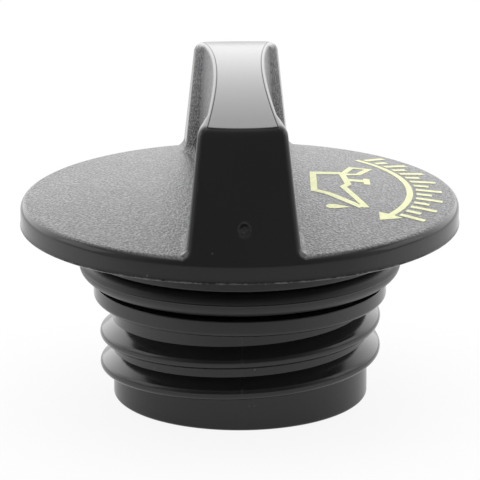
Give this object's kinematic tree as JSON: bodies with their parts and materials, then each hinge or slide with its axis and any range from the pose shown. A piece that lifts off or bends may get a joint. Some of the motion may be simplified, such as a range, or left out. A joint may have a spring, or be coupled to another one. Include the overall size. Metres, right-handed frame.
{
  "type": "oil filler cap",
  "caption": "Round screw-in filler cap with a waisted grip bar, a coarse male thread on a hollow neck and a rubber seal ring under the lid.",
  "frame": {"origin": "centre of the neck's flat end face, on which the cap stands", "axes": "+Z along the cap's axis, out through the lid and the grip bar; the grip bar lies along Y; the printed half of the lid is on +X"},
  "size_m": [0.066, 0.066, 0.0504],
  "materials": {
    "cap_plastic": "black moulded plastic, fine grain on the lid and in the grip recesses, smooth satin elsewhere",
    "seal_rubber": "smooth black rubber",
    "print_ink": "pale yellow printed ink on the lid"
  },
  "bodies": {
    "root": {"cap_body": "cap_plastic", "seal_ring": "seal_rubber"}
  },
  "joints": []
}
